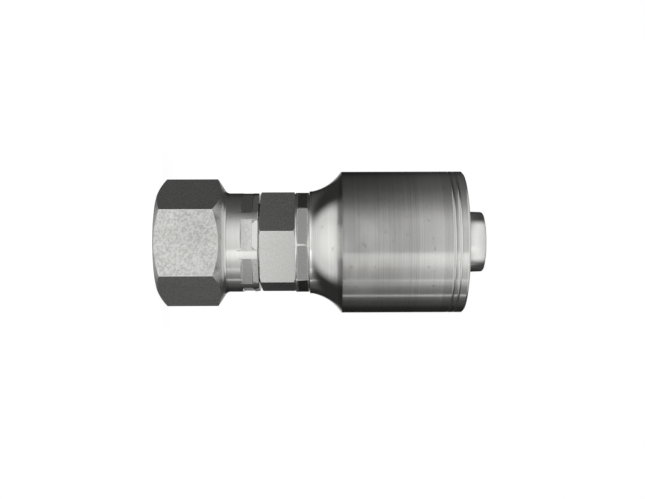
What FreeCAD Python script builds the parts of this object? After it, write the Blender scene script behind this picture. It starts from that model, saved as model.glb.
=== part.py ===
"""Crimp hose fitting for half inch hose, with a three quarter inch swivel nut.

Three turned pieces share the Z axis, and the fitting stands on the nut's front face, whose centre is the origin:
  swivel_nut   a hexagon nut whose round tail is crimped behind the stem's head, so that it turns but stays on
  hose_stem    the seat that the nut draws up, a hexagon to hold it by, and the barbed tail that goes in the hose
  crimp_shell  the sleeve round the hose, its collar staked into a groove of the stem
Lengths are in millimetres, angles in degrees, and +Z runs from the nut to the hose.
"""
import FreeCAD, Part
import os

import Sketcher
from FreeCAD import Placement, Rotation, Vector

# Driving dimensions

SIZES = [
    # Swivel nut
    ("nut_flats", 22.0, "across the flats of the nut"),
    ("nut_hex_length", 12.55, "front face to the back of the hexagon, in the middle of a flat"),
    ("nut_length", 19.9, "front face to the end of the crimped tail"),
    ("nut_face", 21.0, "diameter of the flat front face"),
    ("nut_front_slope", 30.5, "chamfer of the front corners, from the face"),
    ("nut_back_slope", 33.0, "chamfer of the back corners, from the face"),
    ("nut_tail_wall", 1.38, "wall of the round tail, round the stem's head"),
    ("nut_tail_hollow", 1.3, "radius of the hollow between hexagon and tail"),
    ("thread_core", 17.4, "bore through the thread's crests, 3/4-16 UNF"),
    ("thread_lead_in", 0.6, "bevel at the thread's mouth"),
    ("thread_end", 9.0, "front face to the end of the thread"),
    ("tail_crimp_start", 16.5, "front face to the start of the crimp"),
    ("tail_crimp_width", 2.2, "width of the deep part of the crimp"),
    ("tail_crimp_depth", 0.475, "how deep its flats are pressed"),
    ("tail_lip_depth", 0.225, "how deep the flats behind them start"),
    ("tail_end_depth", 0.45, "how deep those are at the end of the tail"),
    ("tail_crimp_turn", -8.6, "first flat, about Z from X"),
    # Stem
    ("seat_depth", 9.9, "nut face to the front of the stem's head"),
    ("head_diameter", 16.8, "diameter of the stem's head"),
    ("head_rim", 0.5, "width of the flat rim round the seat"),
    ("seat_angle", 37.0, "seat cone, from the axis"),
    ("head_shoulder", 0.55, "height of the head over the neck that the nut turns on"),
    ("swivel_play", 0.07, "running clearance round the neck and head"),
    ("shoulder_play", 0.1, "clearance behind the head, along the axis"),
    ("hex_gap", 0.3, "between the nut's tail and the stem's hexagon"),
    ("hex_flats", 18.0, "across the flats of the stem's hexagon"),
    ("hex_length", 6.8, "length of that hexagon"),
    ("hex_chamfer", 0.35, "how far the corners' chamfers run along the axis"),
    ("hex_chamfer_slope", 30.0, "chamfer of those corners, from the face"),
    ("hex_turn", 18.0, "first corner of that hexagon, about Z from X"),
    ("shank_diameter", 15.0, "seat of the shell's collar"),
    ("shank_length", 4.6, "hexagon to the end of that seat"),
    ("stake_groove_width", 2.6, "groove between hexagon and seat, for the collar's lip"),
    ("stake_groove_depth", 0.6, "depth of that groove"),
    ("bore_diameter", 9.8, "way through the stem"),
    ("barb_diameter", 13.0, "across the barbs"),
    ("barb_depth", 0.5, "height of a barb's steep side, and the run of the slope in front of it"),
    ("barb_pitch", 5.5, "barb to barb"),
    ("barb_count", 3, "number of notches that make the barbs"),
    ("barb_margin", 1.35, "shell's end back to the end of the last barb"),
    ("tip_step", 0.45, "how far the smooth end lies under the barbs"),
    ("tip_reach", 4.2, "how far that end stands out of the shell"),
    ("tip_round", 0.9, "rounding of that end"),
    # Shell
    ("shell_bore", 23.1, "bore through the crests of its rings"),
    ("shell_side", 2.5, "wall round that bore"),
    ("shell_length", 33.0, "collar's front to the open end"),
    ("shoulder_start", 3.4, "collar's front to the shoulder"),
    ("shoulder_rise", 12.0, "where the shoulder's hollow starts, from the axis"),
    ("shoulder_slope", 50.0, "where the hollow ends in a cone, from the axis"),
    ("shoulder_share", 0.77, "share of the shoulder's height that the hollow takes"),
    ("shoulder_wall", 1.9, "wall of the shoulder's cone"),
    ("open_edge", 0.3, "chamfer of the open end"),
    ("ring_depth", 0.6, "height of a ring's steep side, and the run of the slope in front of it"),
    ("ring_pitch", 5.5, "ring to ring"),
    ("ring_count", 3, "number of notches that make the rings"),
    ("ring_margin", 3.0, "open end to the first notch"),
    ("collar_wall", 2.35, "wall of the collar in front of its proud ridge"),
    ("collar_ridge", 0.3, "how far that ridge stands proud"),
    ("collar_ridge_start", 2.65, "collar's front to the ridge"),
    ("collar_crimp_start", 0.45, "collar's front to the flats"),
    ("collar_crimp_end", 2.55, "collar's front to the end of the flats"),
    ("collar_crimp_depth", 0.675, "how deep the flats are pressed"),
    ("collar_crimp_turn", 25.3, "first flat, about Z from X"),
    ("stake_play", 0.05, "between collar and shank, the two pieces' fit"),
    ("crimp_sides", 8, "flats round a crimp"),
]

doc = FreeCAD.newDocument("crimp_hose_fitting")
sheet = doc.addObject("Spreadsheet::Sheet", "Size")
for row, (alias, value, meaning) in enumerate(SIZES, start=1):
    sheet.set(f"A{row}", alias)
    sheet.set(f"B{row}", str(value))
    sheet.set(f"C{row}", meaning)
    sheet.setAlias(f"B{row}", alias)
doc.recompute()

# Places that follow from the sizes, as expressions on the sheet

SHELL_RADIUS = "(Size.shell_bore / 2 + Size.shell_side)"
CLEAR = f"(Size.nut_flats + {SHELL_RADIUS})"  # a radius outside every piece

HEAD_RADIUS = "(Size.head_diameter / 2)"
NECK_RADIUS = f"({HEAD_RADIUS} - Size.head_shoulder)"
HEAD_BORE = f"({HEAD_RADIUS} + Size.swivel_play)"
LIP_BORE = f"({NECK_RADIUS} + Size.swivel_play)"
HEAD_BACK = "(Size.tail_crimp_start - Size.shoulder_play)"

HEX_START = "(Size.nut_length + Size.hex_gap)"
COLLAR_START = f"({HEX_START} + Size.hex_length)"
SHANK_RADIUS = "(Size.shank_diameter / 2)"
GROOVE_RADIUS = f"({SHANK_RADIUS} - Size.stake_groove_depth)"
GROOVE_END = f"({COLLAR_START} + Size.stake_groove_width)"

SHELL_END = f"({COLLAR_START} + Size.shell_length)"
STEM_END = f"({SHELL_END} + Size.tip_reach)"


def number(expression):
    """The value of an expression on the sheet."""
    return float(sheet.evalExpression(str(expression)))


# Modelling helpers

XY, XZ = "XY_Plane", "XZ_Plane"
Z_AXIS = "Z_Axis"
NEAR_ZERO = 1e-9
HOLLOW_FACETS = 2
SHOULDER_FACETS = 3
TIP_FACETS = 2


def new_body(name):
    """A named body, standing at the origin."""
    body = doc.addObject("PartDesign::Body", name)
    body.Label = name
    body.Placement = Placement()
    return body


def origin_feature(body, role):
    """One of the body's own origin planes or axes."""
    return next(item for item in body.Origin.OriginFeatures if item.Role == role)


def closed_sketch(body, name, points, turn=None):
    """A closed outline in the half plane of radius and height. Each point is a pair of expressions.

    turn is an expression for the angle about Z, from X, at which the half plane stands.
    """
    sketch = body.newObject("Sketcher::SketchObject", name)
    sketch.AttachmentSupport = [(origin_feature(body, XZ), "")]
    sketch.MapMode = "FlatFace"
    if turn is not None:
        sketch.AttachmentOffset = Placement(Vector(), Rotation(Vector(0, 1, 0), 0))
        sketch.setExpression(".AttachmentOffset.Rotation.Angle", turn)
    spots = [Vector(number(radius), number(height), 0) for radius, height in points]
    count = len(points)
    for index in range(count):
        sketch.addGeometry(Part.LineSegment(spots[index], spots[(index + 1) % count]), False)
    for index in range(count):
        sketch.addConstraint(Sketcher.Constraint("Coincident", index, 2, (index + 1) % count, 1))
    for index, (radius, height) in enumerate(points):
        pin_point(sketch, index, "DistanceX", radius, spots[index].x, -2, f"radius_{index}")
        pin_point(sketch, index, "DistanceY", height, spots[index].y, -1, f"height_{index}")
    return sketch


def pin_point(sketch, line, kind, expression, value, axis, name):
    """Hold the first end of a line at a distance from an axis, or on it."""
    if abs(value) < NEAR_ZERO:
        sketch.addConstraint(Sketcher.Constraint("PointOnObject", line, 1, axis))
        return
    sketch.addConstraint(Sketcher.Constraint(kind, -1, 1, line, 1, value))
    place = sketch.ConstraintCount - 1
    sketch.renameConstraint(place, name)
    sketch.setExpression(f"Constraints.{name}", expression)


def turned(body, kind, name, points):
    """Turn an outline round Z: kind is Revolution, which adds, or Groove, which cuts."""
    sketch = closed_sketch(body, f"{name}Outline", points)
    feature = body.newObject(f"PartDesign::{kind}", name)
    feature.Profile = sketch
    feature.ReferenceAxis = (sketch, ["V_Axis"])
    feature.Angle = 360.0
    doc.recompute()
    return feature


def hexagon(body, name, flats, start, length, turn=None):
    """A hexagonal bar, one corner on X unless it is turned."""
    bar = body.newObject("PartDesign::AdditivePrism", name)
    bar.AttachmentSupport = [(origin_feature(body, XY), "")]
    bar.MapMode = "FlatFace"
    bar.AttachmentOffset = Placement(Vector(), Rotation(Vector(0, 0, 1), 0))
    bar.Polygon = 6
    bar.setExpression("Circumradius", f"{flats} / sqrt(3)")
    bar.setExpression("Height", length)
    bar.setExpression(".AttachmentOffset.Base.z", start)
    if turn is not None:
        bar.setExpression(".AttachmentOffset.Rotation.Angle", turn)
    doc.recompute()
    return bar


def crimp(body, name, points, turn, width):
    """Flats pressed round a crimp: one cut across the axis, repeated round it."""
    sketch = closed_sketch(body, f"{name}Outline", points, turn)
    flat = body.newObject("PartDesign::Pocket", f"{name}Flat")
    flat.Profile = sketch
    flat.SideType = "Symmetric"
    flat.setExpression("Length", width)
    doc.recompute()
    ring = body.newObject("PartDesign::PolarPattern", name)
    ring.Originals = [flat]
    ring.Axis = (origin_feature(body, Z_AXIS), [""])
    ring.Angle = 360.0
    ring.setExpression("Occurrences", "Size.crimp_sides")
    body.Tip = ring
    doc.recompute()
    return ring


def rounded(radius, height, size, first, last, facets):
    """Points of a rounding in short facets, as expressions.

    The corner's centre is at a radius and height, and the angles run from the direction of +Z to that of +X.
    """
    angles = [f"({first} + ({last} - {first}) * {step} / {facets})" for step in range(facets + 1)]
    return [(f"{radius} + {size} * sin({angle})", f"{height} + {size} * cos({angle})") for angle in angles]


def notched(crest, root, first, pitch, count, run):
    """Points of a row of notches along the axis, as expressions: a slope down to the root, then a steep side back.

    The steep sides face the nut, where a hose that is pulled off would catch on them. The last stands at first,
    and the others follow towards the nut.
    """
    points = []
    for place in reversed(range(int(number(count)))):
        side = f"({first} - {pitch} * {place})"
        points += [(crest, f"{side} - {run}"), (root, side), (crest, side)]
    return points


# Swivel nut

def make_swivel_nut():
    """Hexagon bar turned to a tail, bored for the thread and the stem's head, then crimped behind the head."""
    body = new_body("swivel_nut")
    hexagon(body, "NutBar", "Size.nut_flats", "0", "Size.nut_length")

    front_face = "Size.nut_face / 2"
    front_rise = f"({CLEAR} - {front_face}) * tan(Size.nut_front_slope)"
    turned(body, "Groove", "FrontChamfer", [
        (front_face, "0"),
        (CLEAR, "0"),
        (CLEAR, front_rise),
    ])

    # The hollow touches both the back chamfer and the tail, so its centre lies one radius off each.
    tail = f"({HEAD_BORE} + Size.nut_tail_wall)"
    hollow = "Size.nut_tail_hollow"
    slope = "Size.nut_back_slope"
    back_edge = f"(Size.nut_hex_length + (Size.nut_flats / 2 - {tail} - {hollow}) * tan({slope}))"
    hollow_height = f"({back_edge} + {hollow} / cos({slope}))"
    hollow_radius = f"({tail} + {hollow})"
    back_fall = f"Size.nut_hex_length - ({CLEAR} - Size.nut_flats / 2) * tan({slope})"
    turned(body, "Groove", "Tail", [
        (CLEAR, "Size.nut_length"),
        (CLEAR, back_fall),
        *rounded(hollow_radius, hollow_height, hollow, f"(180 + {slope})", "270", HOLLOW_FACETS),
        (tail, "Size.nut_length"),
    ])

    core = "Size.thread_core / 2"
    lip_start = f"(Size.tail_crimp_start + {HEAD_BORE} - {LIP_BORE})"
    turned(body, "Groove", "Bore", [
        ("0", "0"),
        (f"{core} + Size.thread_lead_in", "0"),
        (core, "Size.thread_lead_in"),
        (core, "Size.thread_end"),
        (HEAD_BORE, "Size.thread_end"),
        (HEAD_BORE, "Size.tail_crimp_start"),
        (LIP_BORE, lip_start),
        (LIP_BORE, "Size.nut_length"),
        ("0", "Size.nut_length"),
    ])

    deep = f"({tail} - Size.tail_crimp_depth)"
    deep_end = "(Size.tail_crimp_start + Size.tail_crimp_width)"
    lip = f"({tail} - Size.tail_lip_depth)"
    crimp(body, "TailCrimp", [
        (CLEAR, "Size.tail_crimp_start"),
        (tail, "Size.tail_crimp_start"),
        (deep, "Size.tail_crimp_start + Size.tail_crimp_depth / 2"),
        (deep, deep_end),
        (lip, f"{deep_end} + Size.tail_lip_depth / 2"),
        (f"{tail} - Size.tail_end_depth", "Size.nut_length"),
        (CLEAR, "Size.nut_length"),
    ], "Size.tail_crimp_turn", f"2 * {tail}")
    return body


# Hose stem

def make_hose_stem():
    """Head with its conical seat, neck, hexagon, grooved shank and barbed tail, bored through."""
    body = new_body("hose_stem")
    hexagon(body, "StemHexagon", "Size.hex_flats", HEX_START, "Size.hex_length", "Size.hex_turn")

    corner = "(Size.hex_flats / sqrt(3))"
    inner = f"({corner} - Size.hex_chamfer / tan(Size.hex_chamfer_slope))"
    outer_run = f"(({CLEAR} - {inner}) * tan(Size.hex_chamfer_slope))"
    turned(body, "Groove", "HexagonFront", [
        (inner, HEX_START),
        (CLEAR, HEX_START),
        (CLEAR, f"{HEX_START} + {outer_run}"),
    ])
    turned(body, "Groove", "HexagonBack", [
        (inner, COLLAR_START),
        (CLEAR, f"{COLLAR_START} - {outer_run}"),
        (CLEAR, COLLAR_START),
    ])

    shank_end = f"({COLLAR_START} + Size.shank_length)"
    barb = "(Size.barb_diameter / 2)"
    root = f"({barb} - Size.barb_depth)"
    tip = f"({barb} - Size.tip_step)"
    tip_start = f"({SHELL_END} - Size.barb_margin)"
    last_notch = f"({tip_start} - Size.barb_pitch)"
    tip_round = "Size.tip_round"
    turned(body, "Revolution", "TurnedStem", [
        ("0", "Size.seat_depth"),
        (HEAD_RADIUS, "Size.seat_depth"),
        (HEAD_RADIUS, HEAD_BACK),
        (NECK_RADIUS, f"{HEAD_BACK} + Size.head_shoulder"),
        (NECK_RADIUS, HEX_START),
        (GROOVE_RADIUS, COLLAR_START),
        (GROOVE_RADIUS, GROOVE_END),
        (SHANK_RADIUS, GROOVE_END),
        (SHANK_RADIUS, shank_end),
        (barb, shank_end),
        *notched(barb, root, last_notch, "Size.barb_pitch", "Size.barb_count", "Size.barb_depth"),
        (barb, tip_start),
        (tip, tip_start),
        *rounded(f"({tip} - {tip_round})", f"({STEM_END} - {tip_round})", tip_round, "90", "0", TIP_FACETS),
        ("0", STEM_END),
    ])

    bore = "Size.bore_diameter / 2"
    seat_mouth = f"({HEAD_RADIUS} - Size.head_rim)"
    turned(body, "Groove", "SeatAndBore", [
        ("0", "Size.seat_depth"),
        (seat_mouth, "Size.seat_depth"),
        (bore, f"Size.seat_depth + ({seat_mouth} - {bore}) / tan(Size.seat_angle)"),
        (bore, STEM_END),
        ("0", STEM_END),
    ])
    return body


# Crimp shell

def make_crimp_shell():
    """Sleeve with a collar, a hollow shoulder and rings inside, its collar pressed into the stem's groove."""
    body = new_body("crimp_shell")
    rim = f"({SHANK_RADIUS} + Size.stake_play + Size.collar_wall)"
    ridge = f"({rim} + Size.collar_ridge)"
    ridge_start = f"({COLLAR_START} + Size.collar_ridge_start)"

    # The hollow's radius follows from its two slopes and its share of the shoulder's height.
    rise, slope = "Size.shoulder_rise", "Size.shoulder_slope"
    height = f"({SHELL_RADIUS} - {ridge})"
    hollow = f"(Size.shoulder_share * {height} / (cos({rise}) - cos({slope})))"
    hollow_radius = f"({ridge} + {hollow} * cos({rise}))"
    hollow_height = f"({COLLAR_START} + Size.shoulder_start - {hollow} * sin({rise}))"
    cone_run = f"((1 - Size.shoulder_share) * {height} / tan({slope}))"
    shoulder_end = f"({hollow_height} + {hollow} * sin({slope}) + {cone_run})"
    turned(body, "Revolution", "Sleeve", [
        ("0", COLLAR_START),
        (rim, COLLAR_START),
        (rim, ridge_start),
        (ridge, f"{ridge_start} + Size.collar_ridge"),
        *rounded(hollow_radius, hollow_height, hollow, f"(270 + {rise})", f"(270 + {slope})", SHOULDER_FACETS),
        (SHELL_RADIUS, shoulder_end),
        (SHELL_RADIUS, f"{SHELL_END} - Size.open_edge"),
        (f"{SHELL_RADIUS} - Size.open_edge", SHELL_END),
        ("0", SHELL_END),
    ])

    # The inside follows the stem's groove, opens out in a cone under the shoulder, then runs straight.
    shank = f"({SHANK_RADIUS} + Size.stake_play)"
    stake = f"({GROOVE_RADIUS} + Size.stake_play)"
    bore = "(Size.shell_bore / 2)"
    floor = f"({bore} + Size.ring_depth)"
    wall_run = f"Size.shoulder_wall / sin({slope})"
    cone_end = f"({shoulder_end} - ({SHELL_RADIUS} - {bore}) / tan({slope}) + {wall_run})"
    cone_start = f"({cone_end} - ({bore} - {shank}) / tan({slope}))"
    lip_end = f"({GROOVE_END} - Size.stake_play)"
    last_notch = f"({SHELL_END} - Size.ring_margin)"
    turned(body, "Groove", "Inside", [
        ("0", COLLAR_START),
        (stake, COLLAR_START),
        (stake, lip_end),
        (shank, lip_end),
        (shank, cone_start),
        (bore, cone_end),
        *notched(bore, floor, last_notch, "Size.ring_pitch", "Size.ring_count", "Size.ring_depth"),
        (bore, SHELL_END),
        ("0", SHELL_END),
    ])

    flat = f"({rim} - Size.collar_crimp_depth)"
    crimp_start = f"({COLLAR_START} + Size.collar_crimp_start)"
    crimp_end = f"({COLLAR_START} + Size.collar_crimp_end)"
    crimp(body, "CollarCrimp", [
        (flat, crimp_start),
        (CLEAR, crimp_start),
        (CLEAR, crimp_end),
        (flat, crimp_end),
    ], "Size.collar_crimp_turn", f"2 * {rim}")
    return body


# Build and write

def check(body):
    """Stop if a feature failed or the solid isn't sound."""
    for item in [body] + list(body.Group):
        if "Invalid" in item.State or "Error" in item.State:
            raise RuntimeError(f"{item.Name} failed: {item.State}")
    if body.Shape.isNull() or not body.Shape.isValid():
        raise RuntimeError(f"{body.Label} isn't a sound solid")


bodies = [make_swivel_nut(), make_hose_stem(), make_crimp_shell()]
doc.recompute()
os.makedirs("parts", exist_ok=True)
for body in bodies:
    check(body)
for body in bodies:
    body.Shape.exportStep(os.path.join("parts", f"{body.Label}.step"))
    box = body.Shape.BoundBox
    print(f"{body.Label}: {len(body.Shape.Solids)} solid, {body.Shape.Volume:.1f} mm3, "
          f"Z {box.ZMin:.2f} to {box.ZMax:.2f}, radius {box.XMax:.2f}")
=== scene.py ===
"""Looks of a crimp hose fitting: swivel nut, hose stem and crimp shell, all of bare turned steel.

The fitting stands on the nut's front face, with its axis on Z. Sizes are in millimetres until a point is
made, and those of the surroundings in metres.
"""
import math

import bpy
from mathutils import Matrix, Vector


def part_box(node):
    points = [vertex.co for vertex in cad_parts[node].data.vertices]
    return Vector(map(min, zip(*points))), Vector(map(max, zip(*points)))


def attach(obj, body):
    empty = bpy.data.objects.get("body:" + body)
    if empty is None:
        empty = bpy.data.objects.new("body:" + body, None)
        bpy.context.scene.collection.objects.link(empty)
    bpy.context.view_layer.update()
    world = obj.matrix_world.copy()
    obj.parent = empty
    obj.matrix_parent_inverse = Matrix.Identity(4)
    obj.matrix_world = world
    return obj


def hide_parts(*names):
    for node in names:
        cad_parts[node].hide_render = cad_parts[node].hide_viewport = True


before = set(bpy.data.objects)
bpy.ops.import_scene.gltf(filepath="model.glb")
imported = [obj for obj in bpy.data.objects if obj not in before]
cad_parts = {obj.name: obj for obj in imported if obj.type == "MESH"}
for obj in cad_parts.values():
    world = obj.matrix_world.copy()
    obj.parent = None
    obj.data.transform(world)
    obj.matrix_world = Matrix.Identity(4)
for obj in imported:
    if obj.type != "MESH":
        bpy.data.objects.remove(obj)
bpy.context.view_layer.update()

# Sizes

MM = 0.001
TURN_SIDES = 256
HEX_SIDES = 6
HALF_SIDE = 180 / HEX_SIDES  # from a hexagon's corner to the middle of the next flat, in degrees
CRIMP_SIDES = 8
WELD = 1e-7
SMALL_ARC = math.radians(30)
LARGE_ARC = math.radians(4)
LARGE_ROUND = 1.0
SHARP_CORNER = math.radians(28)
CLEAR = 1.0  # how far a tool reaches past what it cuts

nut_box, stem_box, shell_box = (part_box(node) for node in ("swivel_nut", "hose_stem", "crimp_shell"))
NUT_LENGTH = nut_box[1].z / MM
HEAD_FRONT = stem_box[0].z / MM
STEM_END = stem_box[1].z / MM
SHELL_FRONT = shell_box[0].z / MM
SHELL_END = shell_box[1].z / MM
SHELL_RADIUS = shell_box[1].x / MM
NUT_CORNER = nut_box[1].x / MM
NUT_FLATS = NUT_CORNER * math.sqrt(3)

# Swivel nut
NUT_HEX_LENGTH = 12.55
NUT_FACE_RADIUS = 10.5
NUT_BLANK_RADIUS = NUT_FACE_RADIUS + 3.0  # outside the hexagon's corners
NUT_FRONT_SLOPE = math.radians(30.5)
NUT_BACK_SLOPE = math.radians(33)
TAIL_RADIUS = 9.85
TAIL_HOLLOW = 1.3
HEAD_BORE = 8.47
LIP_BORE = 7.92
THREAD_CREST = 8.7
THREAD_ROOT = 9.45
THREAD_PITCH = 25.4 / 16
THREAD_HALF_ANGLE = math.radians(30)
THREAD_LEAD_IN = 0.6
THREAD_END = 9.0
THREAD_RUN_OUT = 0.3
THREAD_TURNS = 6
THREAD_STEPS = 96
TAP_OVERLAP = 0.1  # how far the tap reaches in past the thread's crests
CRIMP_START = 16.5
CRIMP_DEEP_END = 18.7
CRIMP_DEPTH = 0.475
LIP_DEPTH = 0.225
LIP_STEP = 0.12  # run of the step from the deep flats to the lip's
TAIL_END_DEPTH = 0.45
TAIL_CRIMP_TURN = -8.6
TAIL_RING = 0.6  # plain ring of the tail before the crimp
JAW_LEAN = 0.35  # how far the jaws' front leans back over that ring
JAW_NOSE_RISE = 0.2
JAW_NOSE_LEAN = 0.05
JAW_ROUND = 0.3

# Hose stem
HEAD_RADIUS = 8.4
HEAD_BACK = 16.4
NECK_RADIUS = 7.85
SEAT_MOUTH = 7.9
SEAT_ANGLE = math.radians(37)
STEM_HEX_FLATS = 18.0
STEM_HEX_START = NUT_LENGTH + 0.3
STEM_HEX_TURN = 18.0
HEX_CHAMFER = 0.24
HEX_CHAMFER_SLOPE = math.radians(30)
SHANK_RADIUS = 7.5
GROOVE_RADIUS = 6.9
GROOVE_END = SHELL_FRONT + 2.6
SHANK_END = SHELL_FRONT + 4.6
WAY_RADIUS = 4.9
BARB_RADIUS = 6.5
BARB_DEPTH = 0.5
BARB_PITCH = 5.5
BARB_NOTCHES = 3
TIP_RADIUS = 6.05
TIP_START = SHELL_END - 1.35
TIP_ROUND = 0.5
TIP_TAPER = 0.1  # how much slimmer the tip is at its end
TAPER_START = SHELL_END + 1.0
TAPER_ROUND = 1.2

# Crimp shell
SHELL_BORE = 11.55
COLLAR_RADIUS = 9.9
RIDGE_RADIUS = 10.2
RIDGE_START = SHELL_FRONT + 2.65
RIDGE_RUN = 0.18  # from the collar's end up to the ridge
STAKE_PLAY = 0.05
SHOULDER_START = SHELL_FRONT + 3.4
SHOULDER_FOOT = 0.12  # from the ridge's end to the start of the shoulder
SHOULDER_RISE = math.radians(12)
SHOULDER_SLOPE = math.radians(50)
SHOULDER_SHARE = 0.77
SHOULDER_WALL = 1.9
HOLLOW_DRAWN = 0.99  # share of the hollow's radius, so that its ends stay between their neighbours
OPEN_EDGE = 0.3
OPEN_RING = 1.5  # place of the last ring on the cylinder, in widths of that edge
RING_DEPTH = 0.6
RING_PITCH = 5.5
RING_NOTCHES = 3
RING_MARGIN = 3.0
COLLAR_CRIMP_START = SHELL_FRONT + 0.45
COLLAR_CRIMP_END = SHELL_FRONT + 2.4
COLLAR_CRIMP_DEPTH = 0.675
COLLAR_CRIMP_TURN = 25.3
COLLAR_FRONT_LEAN = 0.5  # how far each side of the jaws leans out
COLLAR_BACK_LEAN = 0.6
TURNED_LINES = (SHELL_END - 2.93, SHELL_END - 1.8)
LINE_WIDTH = 0.36
LINE_DEPTH = 0.13

# Small edge roundings
MOUTH_EDGE = 0.08
FACE_EDGE = 0.12
TAIL_EDGE = 0.16
LIP_EDGE = 0.12
LIP_STEP_EDGE = 0.05
NUT_HEX_EDGE = 0.1
SEAT_EDGE = 0.08
HEAD_EDGE = 0.15
SHANK_EDGE = 0.2
TIP_STEP_EDGE = 0.1
WAY_EDGE = 0.2
STEM_HEX_EDGE = 0.08
COLLAR_EDGE = 0.15
COLLAR_END_EDGE = 0.05
RIDGE_FRONT_EDGE = 0.12
RIDGE_BACK_EDGE = 0.1
LINE_EDGE = 0.04
LINE_ROOT = 0.06
SHELL_END_EDGE = 0.08
SHELL_BORE_EDGE = 0.4
COLLAR_FLAT_EDGE = 0.1

# Outlines


def outline(corners):
    """Points of a closed outline, from corners of (radius, height) or (radius, height, rounding)."""
    points = []
    for index, corner in enumerate(corners):
        spot = Vector(corner[:2])
        if len(corner) == 2:
            points.append(spot)
            continue
        before = (Vector(corners[index - 1][:2]) - spot).normalized()
        after = (Vector(corners[(index + 1) % len(corners)][:2]) - spot).normalized()
        half = before.angle(after) / 2
        rounding = corner[2]
        centre = spot + (before + after).normalized() * rounding / math.sin(half)
        turn = math.pi - 2 * half
        steps = max(2, math.ceil(turn / (LARGE_ARC if rounding > LARGE_ROUND else SMALL_ARC)))
        first = spot + before * rounding / math.tan(half) - centre
        last = spot + after * rounding / math.tan(half) - centre
        for step in range(steps + 1):
            points.append(centre + first.slerp(last, step / steps, first) * rounding)
    return points


def spot_at(point):
    """A point of an outline in space, on the half plane of +X."""
    return Vector((point.x * MM, 0.0, point.y * MM))


def draw(name, points):
    """An edge loop in the half plane of +X, left in edit mode with everything selected."""
    bpy.ops.object.select_all(action="DESELECT")
    bpy.ops.mesh.primitive_plane_add(size=MM, location=spot_at(points[0]))
    piece = bpy.context.object
    piece.name = piece.data.name = name
    bpy.ops.object.mode_set(mode="EDIT")
    bpy.ops.mesh.select_all(action="SELECT")
    bpy.ops.mesh.merge(type="CENTER")
    for here, there in zip(points, points[1:] + points[:1]):
        step = spot_at(there) - spot_at(here)
        bpy.ops.mesh.extrude_region_move(TRANSFORM_OT_translate={"value": step})
    bpy.ops.mesh.select_all(action="SELECT")
    bpy.ops.mesh.remove_doubles(threshold=WELD)
    return piece


def finish_mesh():
    """Weld, turn the faces outwards, and leave edit mode with the place in the mesh."""
    bpy.ops.mesh.select_all(action="SELECT")
    bpy.ops.mesh.remove_doubles(threshold=WELD)
    bpy.ops.mesh.normals_make_consistent(inside=False)
    bpy.ops.object.mode_set(mode="OBJECT")
    bpy.ops.object.transform_apply(location=True, rotation=True, scale=True)


def turned(name, corners):
    """A ring turned round Z."""
    piece = draw(name, outline(corners))
    bpy.ops.mesh.spin(steps=TURN_SIDES, angle=math.tau, center=(0, 0, 0), axis=(0, 0, 1))
    finish_mesh()
    return piece


def hex_bar(name, flats, start, end, turn, edge):
    """A hexagonal bar with rounded corners. turn is the first corner's angle from X, in degrees."""
    bpy.ops.object.select_all(action="DESELECT")
    # A new cylinder's first corner is on +Y, a quarter turn past +X.
    bpy.ops.mesh.primitive_cylinder_add(
        vertices=HEX_SIDES, radius=flats / math.sqrt(3) * MM, depth=(end - start) * MM,
        location=(0, 0, (start + end) / 2 * MM), rotation=(0, 0, math.radians(turn - 90)))
    bar = bpy.context.object
    bar.name = name
    bpy.ops.object.transform_apply(location=True, rotation=True, scale=True)
    for line in bar.data.edges:
        ends = [bar.data.vertices[index].co.z for index in line.vertices]
        line.select = abs(ends[0] - ends[1]) > WELD
    bpy.ops.object.mode_set(mode="EDIT")
    bpy.ops.mesh.select_mode(type="EDGE")
    bpy.ops.mesh.bevel(offset=edge * MM, segments=2)
    bpy.ops.mesh.select_mode(type="VERT")
    bpy.ops.object.mode_set(mode="OBJECT")
    return bar


def combine(piece, tool, operation):
    """Cut a piece with another or keep what they share. The tool is used up."""
    cut = piece.modifiers.new("Cut", "BOOLEAN")
    cut.operation = operation
    cut.object = tool
    cut.solver = "EXACT"
    make_active(piece)
    bpy.ops.object.modifier_apply(modifier=cut.name)
    bpy.data.objects.remove(tool)


def make_active(piece):
    """Select a piece alone."""
    bpy.ops.object.select_all(action="DESELECT")
    piece.select_set(True)
    bpy.context.view_layer.objects.active = piece


def crimp_jaws(name, corners, turn, width):
    """The crimping tool's jaws: one outline pushed out to both sides, then repeated round the axis."""
    jaws = draw(name, outline(corners))
    bpy.ops.mesh.edge_face_add()
    bpy.ops.transform.translate(value=(0, -width / 2 * MM, 0))
    bpy.ops.mesh.extrude_region_move(TRANSFORM_OT_translate={"value": (0, width * MM, 0)})
    bpy.ops.mesh.select_all(action="SELECT")
    step = math.tau / CRIMP_SIDES
    bpy.ops.mesh.spin(
        steps=CRIMP_SIDES - 1, angle=math.tau - step, dupli=True, center=(0, 0, 0), axis=(0, 0, 1))
    finish_mesh()
    jaws.data.transform(Matrix.Rotation(math.radians(turn), 4, "Z"))
    return jaws


def smooth(piece):
    """Smooth shading that keeps the corners and lets the large faces lead."""
    make_active(piece)
    bpy.ops.object.shade_smooth_by_angle(angle=SHARP_CORNER)
    weighing = piece.modifiers.new("Weigh", "WEIGHTED_NORMAL")
    weighing.keep_sharp = True
    bpy.ops.object.modifier_apply(modifier=weighing.name)


def notches(crest, root, last, pitch, count, run):
    """Corners of a row of notches along the axis: a slope down to the root, then a steep side back."""
    corners = []
    for place in reversed(range(count)):
        side = last - pitch * place
        corners += [(crest, side - run), (root, side), (crest, side)]
    return corners


# Swivel nut


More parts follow.
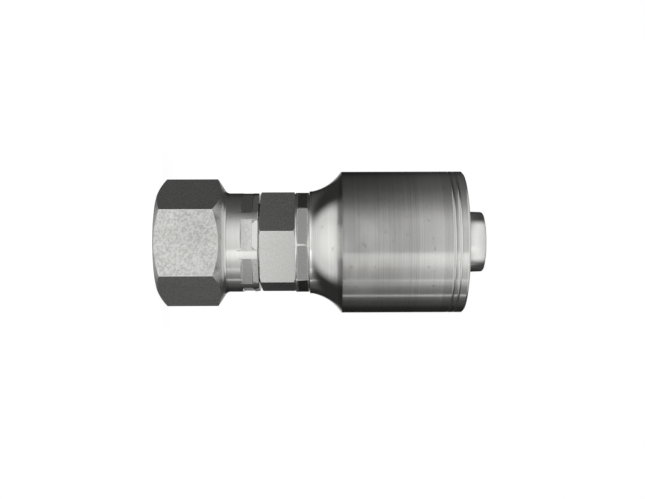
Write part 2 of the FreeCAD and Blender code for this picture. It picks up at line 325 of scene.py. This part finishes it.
def thread_tap():
    """The thread's groove as a solid, wound from below the nut's face to the thread's end."""
    half_root = THREAD_PITCH / 16  # the root's flat is an eighth of the pitch
    half_mouth = half_root + (THREAD_ROOT - THREAD_CREST + TAP_OVERLAP) * math.tan(THREAD_HALF_ANGLE)
    start = THREAD_END - THREAD_RUN_OUT - half_mouth - THREAD_TURNS * THREAD_PITCH
    tap = draw("tap", outline([
        (THREAD_CREST - TAP_OVERLAP, start - half_mouth),
        (THREAD_ROOT, start - half_root),
        (THREAD_ROOT, start + half_root),
        (THREAD_CREST - TAP_OVERLAP, start + half_mouth),
    ]))
    bpy.ops.object.mode_set(mode="OBJECT")
    bpy.ops.object.transform_apply(location=True)
    winding = tap.modifiers.new("Wind", "SCREW")
    winding.angle = math.tau
    winding.screw_offset = THREAD_PITCH * MM
    winding.iterations = THREAD_TURNS
    winding.steps = winding.render_steps = THREAD_STEPS
    bpy.ops.object.modifier_apply(modifier=winding.name)
    bpy.ops.object.mode_set(mode="EDIT")
    bpy.ops.mesh.select_all(action="SELECT")
    bpy.ops.mesh.fill_holes(sides=8)
    finish_mesh()
    return tap


def tail_jaws():
    """The jaws that crimp the nut's tail: deep flats, then shallower ones that fall to its end."""
    deep = TAIL_RADIUS - CRIMP_DEPTH
    return crimp_jaws("jaws", [
        (TAIL_RADIUS + CLEAR, CRIMP_START - JAW_LEAN),
        (TAIL_RADIUS + JAW_NOSE_RISE, CRIMP_START - JAW_NOSE_LEAN),
        (deep, CRIMP_START + JAW_ROUND, JAW_ROUND),
        (deep, CRIMP_DEEP_END, LIP_STEP),
        (TAIL_RADIUS - LIP_DEPTH, CRIMP_DEEP_END + LIP_STEP, LIP_STEP_EDGE),
        (TAIL_RADIUS - TAIL_END_DEPTH, NUT_LENGTH),
        (TAIL_RADIUS - TAIL_END_DEPTH, NUT_LENGTH + CLEAR),
        (TAIL_RADIUS + CLEAR, NUT_LENGTH + CLEAR),
    ], TAIL_CRIMP_TURN, TAIL_RADIUS)


def make_nut():
    """Hexagon nut with a tail crimped behind the stem's head."""
    apothem = NUT_FLATS / 2
    outer = NUT_BLANK_RADIUS
    nut = turned("nut", [
        (THREAD_CREST + THREAD_LEAD_IN, 0.0, MOUTH_EDGE),
        (NUT_FACE_RADIUS, 0.0, FACE_EDGE),
        (outer, (outer - NUT_FACE_RADIUS) * math.tan(NUT_FRONT_SLOPE)),
        (outer, NUT_HEX_LENGTH - (outer - apothem) * math.tan(NUT_BACK_SLOPE)),
        (TAIL_RADIUS, NUT_HEX_LENGTH + (apothem - TAIL_RADIUS) * math.tan(NUT_BACK_SLOPE), TAIL_HOLLOW),
        (TAIL_RADIUS, CRIMP_START - TAIL_RING),
        (TAIL_RADIUS, NUT_LENGTH, TAIL_EDGE),
        (LIP_BORE, NUT_LENGTH, LIP_EDGE),
        (LIP_BORE, CRIMP_START + HEAD_BORE - LIP_BORE),
        (HEAD_BORE, CRIMP_START),
        (HEAD_BORE, THREAD_END),
        (THREAD_CREST, THREAD_END),
        (THREAD_CREST, THREAD_LEAD_IN),
    ])
    bar = hex_bar("bar", NUT_FLATS, -CLEAR, NUT_LENGTH + CLEAR, turn=0, edge=NUT_HEX_EDGE)
    combine(nut, bar, "INTERSECT")
    combine(nut, tail_jaws(), "DIFFERENCE")
    combine(nut, thread_tap(), "DIFFERENCE")
    smooth(nut)
    return nut


# Hose stem


def make_stem():
    """Head with its seat, hexagon, shank and barbed tail, with the way through."""
    corner = STEM_HEX_FLATS / math.sqrt(3)
    chamfer_foot = corner - HEX_CHAMFER / math.tan(HEX_CHAMFER_SLOPE)
    outer = corner + CLEAR
    rise = (outer - chamfer_foot) * math.tan(HEX_CHAMFER_SLOPE)
    seat_depth = (SEAT_MOUTH - WAY_RADIUS) / math.tan(SEAT_ANGLE)
    stem = turned("stem", [
        (WAY_RADIUS, HEAD_FRONT + seat_depth),
        (SEAT_MOUTH, HEAD_FRONT, SEAT_EDGE),
        (HEAD_RADIUS, HEAD_FRONT, HEAD_EDGE),
        (HEAD_RADIUS, HEAD_BACK),
        (NECK_RADIUS, HEAD_BACK + HEAD_RADIUS - NECK_RADIUS),
        (NECK_RADIUS, STEM_HEX_START),
        (chamfer_foot, STEM_HEX_START),
        (outer, STEM_HEX_START + rise),
        (outer, SHELL_FRONT - rise),
        (chamfer_foot, SHELL_FRONT),
        (GROOVE_RADIUS, SHELL_FRONT),
        (GROOVE_RADIUS, GROOVE_END),
        (SHANK_RADIUS, GROOVE_END),
        (SHANK_RADIUS, SHANK_END, SHANK_EDGE),
        (BARB_RADIUS, SHANK_END),
        *notches(BARB_RADIUS, BARB_RADIUS - BARB_DEPTH, TIP_START - BARB_PITCH,
                 BARB_PITCH, BARB_NOTCHES, BARB_DEPTH),
        (BARB_RADIUS, TIP_START, TIP_STEP_EDGE),
        (TIP_RADIUS, TIP_START, TIP_STEP_EDGE),
        (TIP_RADIUS, TAPER_START, TAPER_ROUND),
        (TIP_RADIUS - TIP_TAPER, STEM_END, TIP_ROUND),
        (WAY_RADIUS, STEM_END, WAY_EDGE),
    ])
    bar = hex_bar("bar", STEM_HEX_FLATS, HEAD_FRONT - CLEAR, STEM_END + CLEAR, STEM_HEX_TURN, STEM_HEX_EDGE)
    combine(stem, bar, "INTERSECT")
    smooth(stem)
    return stem


# Crimp shell


def turned_lines():
    """Corners of the fine lines near the open end."""
    corners = []
    for place in TURNED_LINES:
        corners += [
            (SHELL_RADIUS, place - LINE_WIDTH / 2, LINE_EDGE),
            (SHELL_RADIUS - LINE_DEPTH, place, LINE_ROOT),
            (SHELL_RADIUS, place + LINE_WIDTH / 2, LINE_EDGE),
        ]
    return corners


def collar_jaws():
    """The jaws that crimp the collar, whose sides lean out from the flats."""
    flat = COLLAR_RADIUS - COLLAR_CRIMP_DEPTH
    return crimp_jaws("jaws", [
        (flat, COLLAR_CRIMP_START, COLLAR_FLAT_EDGE),
        (COLLAR_RADIUS + CLEAR, COLLAR_CRIMP_START - COLLAR_FRONT_LEAN),
        (COLLAR_RADIUS + CLEAR, COLLAR_CRIMP_END + COLLAR_BACK_LEAN),
        (flat, COLLAR_CRIMP_END, COLLAR_FLAT_EDGE),
    ], COLLAR_CRIMP_TURN, COLLAR_RADIUS)


def make_shell():
    """Sleeve with a crimped collar, a proud ridge, a hollow shoulder and two fine turned lines."""
    shank = SHANK_RADIUS + STAKE_PLAY
    stake = GROOVE_RADIUS + STAKE_PLAY
    lip_end = GROOVE_END - STAKE_PLAY
    height = SHELL_RADIUS - RIDGE_RADIUS
    hollow = SHOULDER_SHARE * height / (math.cos(SHOULDER_RISE) - math.cos(SHOULDER_SLOPE))
    reach = hollow * math.tan((SHOULDER_SLOPE - SHOULDER_RISE) / 2)
    corner_radius = RIDGE_RADIUS + reach * math.sin(SHOULDER_RISE)
    corner_height = SHOULDER_START + reach * math.cos(SHOULDER_RISE)
    shoulder_end = corner_height + (SHELL_RADIUS - corner_radius) / math.tan(SHOULDER_SLOPE)
    wall = SHELL_RADIUS - SHELL_BORE
    cone_end = shoulder_end - wall / math.tan(SHOULDER_SLOPE) + SHOULDER_WALL / math.sin(SHOULDER_SLOPE)
    cone_start = cone_end - (SHELL_BORE - shank) / math.tan(SHOULDER_SLOPE)
    shell = turned("shell", [
        (stake, SHELL_FRONT),
        (COLLAR_RADIUS, SHELL_FRONT, COLLAR_EDGE),
        (COLLAR_RADIUS, RIDGE_START, COLLAR_END_EDGE),
        (RIDGE_RADIUS, RIDGE_START + RIDGE_RUN, RIDGE_FRONT_EDGE),
        (RIDGE_RADIUS, SHOULDER_START - SHOULDER_FOOT, RIDGE_BACK_EDGE),
        (corner_radius, corner_height, hollow * HOLLOW_DRAWN),
        (SHELL_RADIUS, shoulder_end),
        (SHELL_RADIUS, TURNED_LINES[0] - LINE_WIDTH),
        *turned_lines(),
        (SHELL_RADIUS, TURNED_LINES[1] + LINE_WIDTH),
        (SHELL_RADIUS, SHELL_END - OPEN_RING * OPEN_EDGE),
        (SHELL_RADIUS, SHELL_END - OPEN_EDGE, SHELL_END_EDGE),
        (SHELL_RADIUS - OPEN_EDGE, SHELL_END, SHELL_END_EDGE),
        (SHELL_BORE, SHELL_END, SHELL_BORE_EDGE),
        *reversed(notches(SHELL_BORE, SHELL_BORE + RING_DEPTH, SHELL_END - RING_MARGIN,
                          RING_PITCH, RING_NOTCHES, RING_DEPTH)),
        (SHELL_BORE, cone_end),
        (shank, cone_start),
        (shank, lip_end),
        (stake, lip_end),
    ])
    combine(shell, collar_jaws(), "DIFFERENCE")
    smooth(shell)
    return shell


def dress(piece, node, body):
    """The piece stands for a node, which is hidden, and moves with its body."""
    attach(piece, body)
    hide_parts(node)


# Which finish a face gets

FLAT_MATCH = 0.999  # how nearly a face looks the way of a flat
FLAT_REACH = WELD * 20
CHAMFER_BAND = 0.3  # how far the back chamfer reaches past the hexagon's flats
JAW_WALL = 0.4  # how far the walls round the collar's flats reach in front of them
SKIN = 0.01


def assign(piece, finishes, choose):
    """Give a piece its finishes. choose takes a face's normal and centre and returns the finish's place."""
    piece.data.materials.clear()
    for finish in finishes:
        piece.data.materials.append(finish)
    for face in piece.data.polygons:
        face.material_index = choose(face.normal, face.center)


def on_flats(sides, first, reach):
    """A test for faces on flats at a distance from the axis. first is one flat's angle from X, in degrees."""
    ways = []
    for side in range(sides):
        angle = math.radians(first) + math.tau * side / sides
        ways.append(Vector((math.cos(angle), math.sin(angle), 0)))

    def lies_on(normal, centre, way):
        return normal.dot(way) > FLAT_MATCH and abs(centre.dot(way) - reach * MM) < FLAT_REACH

    def test(normal, centre):
        return any(lies_on(normal, centre, way) for way in ways)
    return test


def nut_finish(normal, centre):
    """Drawn flats and front chamfer, then turned faces, then the back chamfer and crimped flats."""
    outside = centre.xy.length > NUT_FACE_RADIUS * MM
    if on_nut_flats(normal, centre) or outside and centre.z < NUT_HEX_LENGTH / 2 * MM:
        return 0
    chamfer = outside and centre.z < (NUT_HEX_LENGTH + CHAMFER_BAND) * MM
    return 2 if chamfer or on_tail_flats(normal, centre) else 1


def stem_finish(normal, centre):
    """Drawn flats, then turned faces."""
    return 0 if on_stem_flats(normal, centre) else 1


def shell_finish(normal, centre):
    """Turned faces, then the crimped flats, then the walls round those."""
    if on_collar_flats(normal, centre):
        return 1
    low, high = (COLLAR_CRIMP_START - JAW_WALL) * MM, (RIDGE_START - SKIN) * MM
    inner, outer = SHANK_RADIUS * MM, (COLLAR_RADIUS - SKIN) * MM
    return 2 if low < centre.z < high and inner < centre.xy.length < outer else 0


# Finishes

WHITE = (1.0, 1.0, 1.0, 1.0)
GREEN_SHARE = 0.998  # of the red in a steel grey
BLUE_SHARE = 0.972
MIX_SHARE, MIX_FIRST, MIX_SECOND = 0, 6, 7  # a colour Mix node's sockets, and its colour output
MIX_COLOUR = 2


class Value:
    """A number that changes over a surface. Arithmetic on it adds Math nodes to its finish."""

    def __init__(self, finish, socket):
        self.finish = finish
        self.socket = socket

    def math(self, operation, *others):
        return self.finish.node("ShaderNodeMath", {"operation": operation}, {
            place: other for place, other in enumerate((self, *others))})

    def __add__(self, other):
        return self.math("ADD", other)

    __radd__ = __add__

    def __sub__(self, other):
        return self.math("SUBTRACT", other)

    def __rsub__(self, other):
        return self.math("MULTIPLY", -1.0).math("ADD", other)

    def __mul__(self, other):
        return self.math("MULTIPLY", other)

    __rmul__ = __mul__

    def __truediv__(self, other):
        return self.math("DIVIDE", other)

    def near(self, place, width):
        """One at a place, falling to none at a distance of width."""
        return (1 - self.math("SUBTRACT", place).math("ABSOLUTE") / width).math("MAXIMUM", 0.0)

    def between(self, low, high):
        """From none at low to one at high."""
        return self.finish.node("ShaderNodeMapRange", {"interpolation_type": "SMOOTHSTEP"}, {
            "Value": self, "From Min": low, "From Max": high})


class Finish:
    """The nodes of a surface or of the surroundings."""

    def __init__(self, owner):
        owner.use_nodes = True
        self.owner = owner
        self.tree = owner.node_tree
        self.tree.nodes.clear()

    def node(self, kind, settings, inputs, output=0):
        """Add a node: its settings first, then its sockets' values or links. Returns one of its outputs."""
        node = self.tree.nodes.new(kind)
        for name, setting in settings.items():
            if name == "stops":
                self.set_stops(node.color_ramp, setting)
            else:
                setattr(node, name, setting)
        for name, value in inputs.items():
            if isinstance(value, Value):
                self.tree.links.new(value.socket, node.inputs[name])
            else:
                node.inputs[name].default_value = value
        return Value(self, node.outputs[output]) if node.outputs else None

    def set_stops(self, ramp, stops):
        while len(ramp.elements) < len(stops):
            ramp.elements.new(1.0)
        for element, (place, level) in zip(ramp.elements, stops):
            element.position = place
            element.color = (level, level, level, 1.0)

    def place(self):
        """The point on the object."""
        return self.node("ShaderNodeTexCoord", {}, {}, "Object")

    def along(self, axis):
        """The point's distance along X, Y or Z."""
        return self.node("ShaderNodeSeparateXYZ", {}, {"Vector": self.place()}, axis)

    def noise(self, stretch, detail=2.0, roughness=0.5, shift=0.0):
        """Noise with so many cells for each millimetre along X, Y and Z."""
        grain = self.node("ShaderNodeMapping", {}, {
            "Vector": self.place(),
            "Location": (shift, shift, shift),
            "Scale": tuple(cells / MM for cells in stretch)})
        return self.node("ShaderNodeTexNoise", {}, {
            "Vector": grain, "Scale": 1.0, "Detail": detail, "Roughness": roughness})

    def mix(self, share, first, second):
        return self.node("ShaderNodeMix", {"data_type": "RGBA"}, {
            MIX_SHARE: share, MIX_FIRST: first, MIX_SECOND: second}, MIX_COLOUR)

    def bump(self, height, distance):
        return self.node("ShaderNodeBump", {}, {"Height": height, "Distance": distance * MM})

    def steel(self, colour, roughness, normal, grain=0.0, across=0.0):
        """Bare steel. grain is how much rougher it is one way, and across turns that way by so many turns."""
        surface = self.node("ShaderNodeBsdfPrincipled", {}, {
            "Base Color": colour, "Metallic": 1.0, "Roughness": roughness, "Normal": normal,
            "Anisotropic": grain, "Anisotropic Rotation": across})
        self.node("ShaderNodeOutputMaterial", {}, {"Surface": surface})
        return self.owner


def grey(level):
    """A steel grey, a touch warmer than neutral."""
    return (level, level * GREEN_SHARE, level * BLUE_SHARE, 1.0)


# Noise has so many cells for each millimetre, and a span is where a change starts and where it is whole.
MIDDLE_SPAN = (0.3, 0.7)

BROAD_CELLS = (0.18,) * 3
FINE_SPAN = (0.36, 0.62)
FINE_SHARE = 0.75
BROAD_SHARE = 0.25
SPECKLE_SHINE = 0.08  # how much smoother the light specks of a drawn flat are than its dark ones

LINE_CELLS = (0.02, 0.02, 9.0)
CLOUD_CELLS = (0.1, 0.1, 0.16)
SPECK_CELLS = (1.1,) * 3
SPECK_SPAN = (0.76, 0.8)
LINE_SHINE = 0.6
CLOUD_SHINE = 0.35
LEAST_SHINE = 0.03
SPECK_LOSS = 0.8
TOOL_LINE_DEPTH = 0.0006
# How far either side of a colour step the change blends in.
TONE_STEP_BLEND = 0.1
# The near black that bands of painted shade darken the colour towards.
PAINTED_SHADE_GREY = 0.08
DULL_SPAN = (0.45, 0.75)
DULL_SHARE = 0.05
TURNED_GRAIN = 0.55
QUARTER_TURN = 0.25


def flat_steel(name, light, dark, grain, roughness, relief=0.01):
    """Cold drawn flats: matte, with a fine speckle of the given grain in millimetres."""
    finish = Finish(bpy.data.materials.new(name))
    fine = finish.noise((1 / grain,) * 3, detail=3.0, roughness=0.65)
    broad = finish.noise(BROAD_CELLS, shift=3.0)
    speckle = fine.between(*FINE_SPAN) * FINE_SHARE + broad.between(*MIDDLE_SPAN) * BROAD_SHARE
    colour = finish.mix(speckle, grey(dark), grey(light))
    rough = speckle * -SPECKLE_SHINE + (roughness + SPECKLE_SHINE / 2)
    return finish.steel(colour, rough, finish.bump(fine, relief))


def turned_steel(name, light, dark, roughness, tone_steps=(), marks=(), painted_shade=()):
    """Bright turned steel, with fine lines round the axis, a few dull patches and specks.

    The tone steps are heights where the colour steps lighter or darker, with the change of shine there. marks
    are scored lines, and the bands of painted shade darken the colour; each has its height, width and
    strength.
    """
    finish = Finish(bpy.data.materials.new(name))
    lines = finish.noise(LINE_CELLS, detail=3.0, roughness=0.6)
    cloud = finish.noise(CLOUD_CELLS, shift=5.0)
    specks = finish.noise(SPECK_CELLS, detail=0.0, shift=7.0).between(*SPECK_SPAN)
    height = finish.along("Z")
    shine = lines.between(*MIDDLE_SPAN) * LINE_SHINE + cloud.between(*MIDDLE_SPAN) * CLOUD_SHINE
    shine = shine + LEAST_SHINE - specks * SPECK_LOSS
    # The colour steps lighter or darker at given heights.
    for place, change in tone_steps:
        shine = shine + height.between((place - TONE_STEP_BLEND) * MM, (place + TONE_STEP_BLEND) * MM) * change
    for place, width, depth in marks:
        shine = shine - height.near(place * MM, width * MM) * depth
    colour = finish.mix(shine, grey(dark), grey(light))
    # Painted shade: bands of the colour darkened towards near black at given heights.
    for place, width, strength in painted_shade:
        colour = finish.mix(height.near(place * MM, width * MM) * strength, colour, grey(PAINTED_SHADE_GREY))
    dull = cloud.between(*DULL_SPAN) * DULL_SHARE + roughness
    relief = finish.bump(lines, TOOL_LINE_DEPTH)
    return finish.steel(colour, dull, relief, grain=TURNED_GRAIN, across=QUARTER_TURN)


# Surroundings

TENT_RADIUS = 1.0
TENT_SIDES = 96
CARDS = (  # angle from the camera round the axis, towards -X, and the level of light there
    (-180, 0.75), (-170, 0.60), (-160, 0.012), (-131, 0.026), (-120, 0.06), (-111, 0.072), (-103, 0.125),
    (-98, 0.14), (-96.3, 0.75), (-94.7, 0.75), (-93, 0.15), (-82, 0.21), (-75.5, 0.28), (-70, 0.49),
    (-66, 0.50), (-64.8, 0.78), (-63, 0.78), (-61.5, 0.46), (-52, 0.52), (-43, 0.62), (-37, 0.79),
    (-24, 0.92), (-18.2, 0.88), (-16.2, 0.56), (31, 0.56), (46, 0.43), (56, 0.30), (68, 0.20),
    (93, 0.122), (127, 0.075), (160, 0.015), (172, 0.65),
)

# Spans on the tent, in metres and radians. Height is up, depth is away from the camera and angle is the
# cards'. Left is towards -X and right towards +X, as the camera would see the standing fitting.
LOW_SPAN = (0.2, 0.42)  # downwards, where the glow below takes over from the cards
HIGH_SPAN = (0.27, 0.32)  # upwards, where the glow above takes over

# The cards
CARD_BASE = 0.36
RISE_SPAN = (0.03, 0.21)
RISE_SHARE = 0.7
SINK_TOP = 0.03
SINK_SPAN = (0.0, 0.11)
SINK_SHARE = 1.09
SINK_KEPT = 0.5
LEFT_SPAN = (0.9, 1.3)
RIGHT_SPAN = (1.15, 1.33)
RIGHT_SHARE = 0.6
FRONT_GLOW = 0.38
FRONT_GLOW_PLACE = (0.25, 1.1)

# The glow below
GLOW_DOWN = 0.914  # its direction, down and towards the camera
GLOW_FORWARD = 0.405
GLOW_SPAN = (0.46, 0.78)
GLOW_SHARE = 0.74
CORE_SPAN = (0.8, 1.0)
CORE_SHARE = 0.2
SHADE_SPAN = (0.95, 1.17)  # slopes down from the tent's far side, at which the glow is shaded
SHADE_SHARE = 0.9
PATCH_PLACE = (0.57, 0.25)
PATCH_DROP = (0.5, 0.7)
PATCH_WIDTH = (0.05, 0.11)
PATCH_SHARE = 0.85
BELOW_BASE = 0.03

# The glow above
NEAR_SPAN = (-0.12, 0.4)
NEAR_LEVEL = 1.05
NEAR_TOP = (0.38, 0.48)
NEAR_TOP_LOSS = 0.47
FAR_SPAN = (-0.42, -0.2)
FAR_TOP = (0.5, 0.75)
FAR_SHARE = 0.55
STRIP_PLACE = (0.46, 0.12)
STRIP_TOP = (0.6, 0.8)
STRIP_SHARE = 0.7
ABOVE_BASE = 0.05

# A warm patch on the cards
WARM_WHITE = (1.0, 0.95, 0.87, 1.0)
WARM_PLACE = (-0.68, 0.25)
WARM_TOP = 0.12
WARM_TOP_SPAN = (0.0, 0.06)
WARM_FOOT_SPAN = (0.0, 0.04)


def card_light(finish, angle, height):
    """Light of the cards, weakest at SINK_TOP, stronger above and below it, with a soft glow low in front."""
    stops = [(angle_at / 360 + 0.5, value) for angle_at, value in CARDS]
    cards = finish.node("ShaderNodeValToRGB", {"stops": stops}, {"Fac": angle / math.tau + 0.5})
    sink = (SINK_TOP - height).between(*SINK_SPAN)
    left, right = angle.between(*LEFT_SPAN), (angle * -1.0).between(*RIGHT_SPAN)
    rise = height.between(*RISE_SPAN) * RISE_SHARE
    rise = rise + sink * SINK_SHARE * (1 - left * (1 - sink * SINK_KEPT)) + CARD_BASE
    rise = rise + (1 - rise).math("MAXIMUM", 0.0) * right * RIGHT_SHARE
    return cards * rise + sink * angle.near(*FRONT_GLOW_PLACE) * FRONT_GLOW


def light_below(side, depth, height):
    """A glow from below and in front, shaded towards the tent's far side, and a patch behind the fitting."""
    front = height * -GLOW_DOWN - depth * GLOW_FORWARD
    slope = height / ((1 - depth).math("POWER", 2.0) + side * side).math("SQRT") * -1.0
    glow = front.between(*GLOW_SPAN) * GLOW_SHARE + front.between(*CORE_SPAN) * CORE_SHARE
    glow = glow * (1 - slope.between(*SHADE_SPAN) * SHADE_SHARE)
    patch = depth.near(*PATCH_PLACE) * (height * -1.0).between(*PATCH_DROP)
    patch = patch * (1 - (side * side).between(*PATCH_WIDTH))
    return glow + patch * PATCH_SHARE + BELOW_BASE


def light_above(depth, height):
    """A glow from above and in front, a weaker one that reaches further back, and a strip beyond it."""
    forward = depth * -1.0
    near = forward.between(*NEAR_SPAN) * (NEAR_LEVEL - height.between(*NEAR_TOP) * NEAR_TOP_LOSS)
    far = forward.between(*FAR_SPAN) * height.between(*FAR_TOP) * FAR_SHARE
    strip = depth.near(*STRIP_PLACE) * height.between(*STRIP_TOP) * STRIP_SHARE
    return near.math("MAXIMUM", far) + strip + ABOVE_BASE


def light_tent():
    """Cards round the fitting, with a glow below and one above. Only reflections show them."""
    bpy.ops.object.select_all(action="DESELECT")
    bpy.ops.mesh.primitive_uv_sphere_add(segments=TENT_SIDES, ring_count=TENT_SIDES // 2, radius=TENT_RADIUS)
    tent = bpy.context.object
    tent.name = "light_tent"
    finish = Finish(bpy.data.materials.new("tent_cards"))
    side, depth, height = (finish.along(axis) for axis in "XYZ")
    angle = (side * -1.0).math("ARCTAN2", depth * -1.0)
    low, high = (height * -1.0).between(*LOW_SPAN), height.between(*HIGH_SPAN)
    level = card_light(finish, angle, height) * (1 - low) * (1 - high)
    level = level + light_below(side, depth, height) * low + light_above(depth, height) * high
    warm = angle.near(*WARM_PLACE) * (WARM_TOP - height).between(*WARM_TOP_SPAN)
    warm = warm * height.between(*WARM_FOOT_SPAN)
    tint = finish.mix(warm, WHITE, WARM_WHITE)
    glow = finish.node("ShaderNodeEmission", {}, {"Color": tint, "Strength": level})
    finish.node("ShaderNodeOutputMaterial", {}, {"Surface": glow})
    tent.data.materials.append(finish.owner)
    tent.visible_camera = False
    tent.visible_diffuse = False
    tent.visible_transmission = False
    tent.visible_shadow = False


SOFT_LIGHT = 0.3
FLOOR_SIZE = 40.0
FLOOR_DROP = 0.00002
FLOOR_COLOUR = (0.8, 0.8, 0.8, 1.0)
FLOOR_GLOW = 0.78


def white_world():
    """White wherever the camera, a reflection or glass looks, and a plain soft light for the floor."""
    world = bpy.data.worlds.new("surroundings")
    bpy.context.scene.world = world
    finish = Finish(world)
    seen = finish.node("ShaderNodeLightPath", {}, {}, "Is Camera Ray")
    for ray in ("Is Glossy Ray", "Is Transmission Ray"):
        seen = seen.math("MAXIMUM", finish.node("ShaderNodeLightPath", {}, {}, ray))
    white = finish.node("ShaderNodeBackground", {}, {"Color": WHITE, "Strength": 1.0})
    soft = finish.node("ShaderNodeBackground", {}, {"Color": WHITE, "Strength": SOFT_LIGHT})
    choice = finish.node("ShaderNodeMixShader", {}, {0: seen, 1: soft, 2: white})
    finish.node("ShaderNodeOutputWorld", {}, {"Surface": choice})


def pale_floor():
    """A white floor that the fitting stands on. It keeps the fitting's shadow."""
    bpy.ops.object.select_all(action="DESELECT")
    bpy.ops.mesh.primitive_plane_add(size=FLOOR_SIZE, location=(0, 0, -FLOOR_DROP))
    floor = bpy.context.object
    floor.name = "floor"
    finish = Finish(bpy.data.materials.new("floor_white"))
    matt = finish.node("ShaderNodeBsdfDiffuse", {}, {"Color": FLOOR_COLOUR})
    glow = finish.node("ShaderNodeEmission", {}, {"Color": WHITE, "Strength": FLOOR_GLOW})
    both = finish.node("ShaderNodeAddShader", {}, {0: matt, 1: glow})
    finish.node("ShaderNodeOutputMaterial", {}, {"Surface": both})
    floor.data.materials.append(finish.owner)
    floor.visible_glossy = False


# Camera

IMAGE = (645, 499)
FOCAL_PIXELS = 1000.0
CAMERA_DISTANCE = 200.0
VIEW_HEIGHT = 32.3
AXIS_ROW = 242.3
TILT = 0.0035  # how far the photo's axis rises to the right
SENSOR = 36.0
CLIP_START = 0.01  # metres


def look():
    """The photograph's view: level, from -Y, turned a quarter so that the nut is at the left."""
    data = bpy.data.cameras.new("camera")
    camera = bpy.data.objects.new("camera", data)
    bpy.context.scene.collection.objects.link(camera)
    data.sensor_fit = "HORIZONTAL"
    data.sensor_width = SENSOR
    data.lens = SENSOR * FOCAL_PIXELS / IMAGE[0]
    data.clip_start = CLIP_START
    data.shift_y = (AXIS_ROW - IMAGE[1] / 2) / IMAGE[0]
    right = Vector((math.sin(TILT), 0, math.cos(TILT)))
    up = Vector((-math.cos(TILT), 0, math.sin(TILT)))
    back = Vector((0, -1, 0))
    turn = Matrix((right, up, back)).transposed().to_4x4()
    camera.matrix_world = Matrix.Translation((0, -CAMERA_DISTANCE * MM, VIEW_HEIGHT * MM)) @ turn
    bpy.context.scene.camera = camera


bpy.context.scene.view_settings.view_transform = "Standard"
look()
white_world()
light_tent()
pale_floor()

# The pieces' finishes. A tone step is a height and a change of shine, a scored line or a band of painted
# shade a height, a width and a strength.
# Painted shade on the stem where it meets the gap behind the nut's tail, at the front of its hexagon.
GAP_PAINTED_SHADE = (STEM_HEX_START, 0.3, 0.8)
# Painted shade in the corner where the shell's hollow shoulder meets its cylinder.
SHOULDER_PAINTED_SHADE = (35.8, 0.7, 0.35)
# Heights along the shell where its colour steps lighter or darker, and by how much.
TONE_STEPS = ((41.5, -0.15), (50.4, 0.4), (55.1, -0.55), (58.1, 0.5))
SCORED_LINES = ((42.8, 0.14, 0.7), (48.9, 0.14, 0.7), (49.9, 0.12, 0.5))

nut_flats = flat_steel("nut_flats", light=0.885, dark=0.59, grain=0.40, roughness=0.40, relief=0.022)
stem_flats = flat_steel("stem_flats", light=0.755, dark=0.705, grain=0.5, roughness=0.27, relief=0.001)
satin = flat_steel("satin_cuts", light=0.82, dark=0.72, grain=0.25, roughness=0.34)
tail_crimp = flat_steel("tail_crimp", light=0.74, dark=0.68, grain=0.5, roughness=0.24, relief=0.004)
collar_crimp = flat_steel("collar_crimp", light=0.60, dark=0.52, grain=0.4, roughness=0.26, relief=0.005)
nut_turned = turned_steel("nut_turned", light=0.88, dark=0.74, roughness=0.19)
stem_turned = turned_steel("stem_turned", light=0.92, dark=0.82, roughness=0.2, painted_shade=(GAP_PAINTED_SHADE,))
shell_turned = turned_steel(
    "shell_turned", light=0.87, dark=0.70, roughness=0.16,
    tone_steps=TONE_STEPS, marks=SCORED_LINES, painted_shade=(SHOULDER_PAINTED_SHADE,))

nut, stem, shell = make_nut(), make_stem(), make_shell()
on_nut_flats = on_flats(HEX_SIDES, HALF_SIDE, NUT_FLATS / 2)
on_stem_flats = on_flats(HEX_SIDES, STEM_HEX_TURN + HALF_SIDE, STEM_HEX_FLATS / 2)
on_tail_flats = on_flats(CRIMP_SIDES, TAIL_CRIMP_TURN, TAIL_RADIUS - CRIMP_DEPTH)
on_collar_flats = on_flats(CRIMP_SIDES, COLLAR_CRIMP_TURN, COLLAR_RADIUS - COLLAR_CRIMP_DEPTH)
assign(nut, (nut_flats, nut_turned, tail_crimp), nut_finish)
assign(stem, (stem_flats, stem_turned), stem_finish)
assign(shell, (shell_turned, collar_crimp, satin), shell_finish)
dress(nut, "swivel_nut", "nut")
dress(stem, "hose_stem", "stem")
dress(shell, "crimp_shell", "stem")
